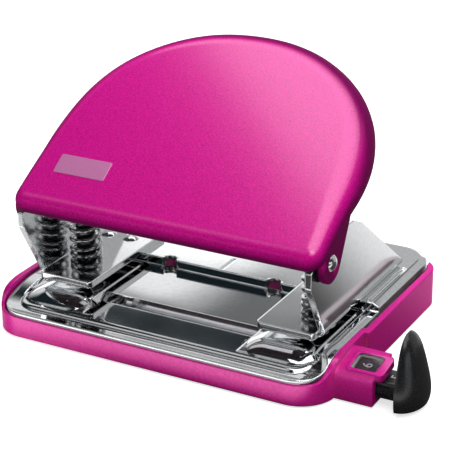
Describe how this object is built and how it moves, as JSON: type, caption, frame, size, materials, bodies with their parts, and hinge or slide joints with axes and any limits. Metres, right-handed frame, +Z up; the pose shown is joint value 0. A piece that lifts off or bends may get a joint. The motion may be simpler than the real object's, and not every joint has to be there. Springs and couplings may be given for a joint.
{
  "type": "hole punch",
  "caption": "Desk two-hole punch with a rounded press handle, sprung pins, a sliding paper guide and a hinged chip tray.",
  "frame": {"origin": "on the table under the rubber mat, in the mid-plane between the two pins, straight below the line through the pins", "axes": "+X to the user's right along the line of the pins, +Y away from the user, +Z up"},
  "size_m": [0.1375, 0.0908, 0.0817],
  "materials": {
    "base_chrome": "bright chrome plate on pressed steel sheet",
    "bracket_chrome": "bright chrome plate on bent steel",
    "die_steel": "turned steel",
    "rivet_steel": "nickel plate",
    "cover_paint": "magenta metallic powder coat with a fine texture",
    "yoke_steel": "zinc plate",
    "pin_steel": "ground hardened steel",
    "spring_steel": "dark oiled spring wire",
    "tray_plastic": "gloss magenta plastic",
    "mat_rubber": "fine ribbed rubber",
    "window_clear": "clear plastic lens",
    "guide_black": "satin black plastic"
  },
  "bodies": {
    "base": {"base_plate": "base_chrome", "left_die": "die_steel", "right_die": "die_steel", "left_bracket": "bracket_chrome", "right_bracket": "bracket_chrome", "bracket_rivets": "rivet_steel", "left_pivot_rivet": "rivet_steel", "right_pivot_rivet": "rivet_steel", "left_pivot_washer": "rivet_steel", "right_pivot_washer": "rivet_steel", "left_hinge_pin": "rivet_steel", "right_hinge_pin": "rivet_steel", "left_spring": "spring_steel", "right_spring": "spring_steel"},
    "handle": {"handle_cover": "cover_paint", "press_yoke": "yoke_steel", "press_bar": "yoke_steel"},
    "left_punch": {"left_punch_pin": "pin_steel", "left_spring_washer": "rivet_steel", "left_retaining_clip": "spring_steel"},
    "right_punch": {"right_punch_pin": "pin_steel", "right_spring_washer": "rivet_steel", "right_retaining_clip": "spring_steel"},
    "tray": {"chip_tray": "tray_plastic", "rubber_mat": "mat_rubber", "guide_window": "window_clear"},
    "guide": {"guide_bar": "guide_black", "guide_stop": "guide_black"}
  },
  "joints": [
    {"name": "handle_press", "type": "hinge", "parent": "base", "child": "handle", "pos_m": [0, -0.0146, 0.0378], "axis": [-1, 0, 0], "range_deg": [0, 22.5], "stiffness_Nm_per_rad": 0.91, "springref_deg": -18.91},
    {"name": "left_pin_slide", "type": "slide", "parent": "base", "child": "left_punch", "axis": [0, 0, -1], "range_m": [0, 0.0062], "deforming": ["left_spring"]},
    {"name": "right_pin_slide", "type": "slide", "parent": "base", "child": "right_punch", "axis": [0, 0, -1], "range_m": [0, 0.0062], "deforming": ["right_spring"]},
    {"name": "tray_open", "type": "hinge", "parent": "base", "child": "tray", "pos_m": [0, 0.055, 0.0101], "axis": [1, 0, 0], "range_deg": [0, 50]},
    {"name": "guide_slide", "type": "slide", "parent": "tray", "child": "guide", "axis": [1, 0, 0], "range_m": [-0.004, 0.0745]}
  ],
  "couplings": [
    {"joint": "left_pin_slide", "follows": "handle_press", "m_per_rad": 0.01508},
    {"joint": "right_pin_slide", "follows": "handle_press", "m_per_rad": 0.01508}
  ]
}
